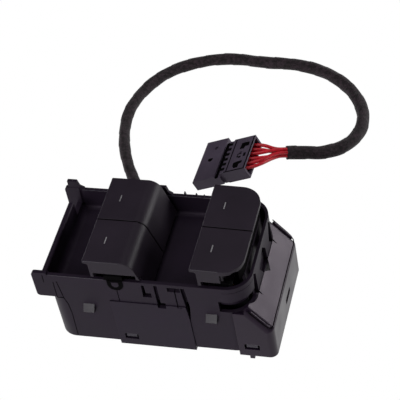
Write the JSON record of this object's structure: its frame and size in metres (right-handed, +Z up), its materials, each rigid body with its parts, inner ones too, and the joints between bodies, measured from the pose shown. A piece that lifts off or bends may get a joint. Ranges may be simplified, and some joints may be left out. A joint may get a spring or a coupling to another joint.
{
  "type": "power window switch",
  "caption": "Low housing with a sunken tray and two pairs of hollow rocker keys, a sloped end cap, and a taped harness lead that loops back to a slotted connector.",
  "frame": {"origin": "under the middle of the switch, at the level that it stands on", "axes": "+X towards the sloped end cap, +Y towards the rear wall where the lead leaves, +Z up"},
  "size_m": [0.1299, 0.2024, 0.0571],
  "materials": {
    "housing_plastic": "fine grained moulded plastic",
    "cap_plastic": "satin moulded plastic",
    "cover_plastic": "fine grained moulded plastic",
    "carrier_plastic": "moulded plastic",
    "pin_steel": "ground steel pin",
    "frame_plastic": "natural moulded plastic",
    "board_laminate": "printed board with a green mask",
    "lamp_body": "moulded lamp body",
    "guide_clear": "clear moulded plastic",
    "chip_black": "moulded chip body",
    "lead_tape": "woven harness tape",
    "gland_rubber": "moulded rubber",
    "wire_red": "smooth wire insulation",
    "connector_plastic": "moulded plastic",
    "key_plastic": "soft touch finish on moulded plastic",
    "marker_white": "pale moulded insert",
    "spring_bronze": "rolled spring bronze",
    "slider_plastic": "natural moulded plastic"
  },
  "bodies": {
    "base": {"switch_housing": "housing_plastic", "end_cap": "cap_plastic", "base_cover": "cover_plastic", "left_pivot_carrier": "carrier_plastic", "right_pivot_carrier": "carrier_plastic", "left_key_shaft": "pin_steel", "right_key_shaft": "pin_steel", "left_slider_frame": "frame_plastic", "right_slider_frame": "frame_plastic", "circuit_board": "board_laminate", "board_lamps": "lamp_body", "light_guides": "guide_clear", "driver_chip": "chip_black", "resistor_row": "chip_black", "board_header": "frame_plastic", "harness_plug": "frame_plastic", "inner_lead": "lead_tape", "cable_gland": "gland_rubber", "harness_lead": "lead_tape", "connector_wires": "wire_red", "connector_nose": "connector_plastic", "connector_body": "connector_plastic", "connector_retainer": "connector_plastic", "front_left_return_leaf": "spring_bronze", "rear_left_return_leaf": "spring_bronze", "front_right_return_leaf": "spring_bronze", "rear_right_return_leaf": "spring_bronze"},
    "front_left_rocker": {"front_left_key": "key_plastic", "front_left_marker": "marker_white"},
    "front_left_contact_slide": {"front_left_slider": "slider_plastic", "front_left_wiper": "spring_bronze"},
    "rear_left_rocker": {"rear_left_key": "key_plastic", "rear_left_marker": "marker_white"},
    "rear_left_contact_slide": {"rear_left_slider": "slider_plastic", "rear_left_wiper": "spring_bronze"},
    "front_right_rocker": {"front_right_key": "key_plastic", "front_right_marker": "marker_white"},
    "front_right_contact_slide": {"front_right_slider": "slider_plastic", "front_right_wiper": "spring_bronze"},
    "rear_right_rocker": {"rear_right_key": "key_plastic", "rear_right_marker": "marker_white"},
    "rear_right_contact_slide": {"rear_right_slider": "slider_plastic", "rear_right_wiper": "spring_bronze"}
  },
  "joints": [
    {"name": "front_left_key_tilt", "type": "hinge", "parent": "base", "child": "front_left_rocker", "pos_m": [-0.01455, -0.01448, 0.0432], "axis": [0, 1, 0], "range_deg": [-6, 6], "stiffness_Nm_per_rad": 0.3},
    {"name": "front_left_contact_travel", "type": "slide", "parent": "base", "child": "front_left_contact_slide", "axis": [1, 0, 0], "range_m": [-0.0015, 0.0015]},
    {"name": "rear_left_key_tilt", "type": "hinge", "parent": "base", "child": "rear_left_rocker", "pos_m": [-0.01455, 0.0104, 0.0432], "axis": [0, 1, 0], "range_deg": [-6, 6], "stiffness_Nm_per_rad": 0.3},
    {"name": "rear_left_contact_travel", "type": "slide", "parent": "base", "child": "rear_left_contact_slide", "axis": [1, 0, 0], "range_m": [-0.0015, 0.0015]},
    {"name": "front_right_key_tilt", "type": "hinge", "parent": "base", "child": "front_right_rocker", "pos_m": [0.03355, -0.01448, 0.0432], "axis": [0, 1, 0], "range_deg": [-6, 6], "stiffness_Nm_per_rad": 0.3},
    {"name": "front_right_contact_travel", "type": "slide", "parent": "base", "child": "front_right_contact_slide", "axis": [1, 0, 0], "range_m": [-0.0015, 0.0015]},
    {"name": "rear_right_key_tilt", "type": "hinge", "parent": "base", "child": "rear_right_rocker", "pos_m": [0.03355, 0.0104, 0.0432], "axis": [0, 1, 0], "range_deg": [-6, 6], "stiffness_Nm_per_rad": 0.3},
    {"name": "rear_right_contact_travel", "type": "slide", "parent": "base", "child": "rear_right_contact_slide", "axis": [1, 0, 0], "range_m": [-0.0015, 0.0015]}
  ],
  "couplings": [
    {"joint": "front_left_contact_travel", "follows": "front_left_key_tilt", "m_per_rad": -0.0135},
    {"joint": "rear_left_contact_travel", "follows": "rear_left_key_tilt", "m_per_rad": -0.0135},
    {"joint": "front_right_contact_travel", "follows": "front_right_key_tilt", "m_per_rad": -0.0135},
    {"joint": "rear_right_contact_travel", "follows": "rear_right_key_tilt", "m_per_rad": -0.0135}
  ]
}
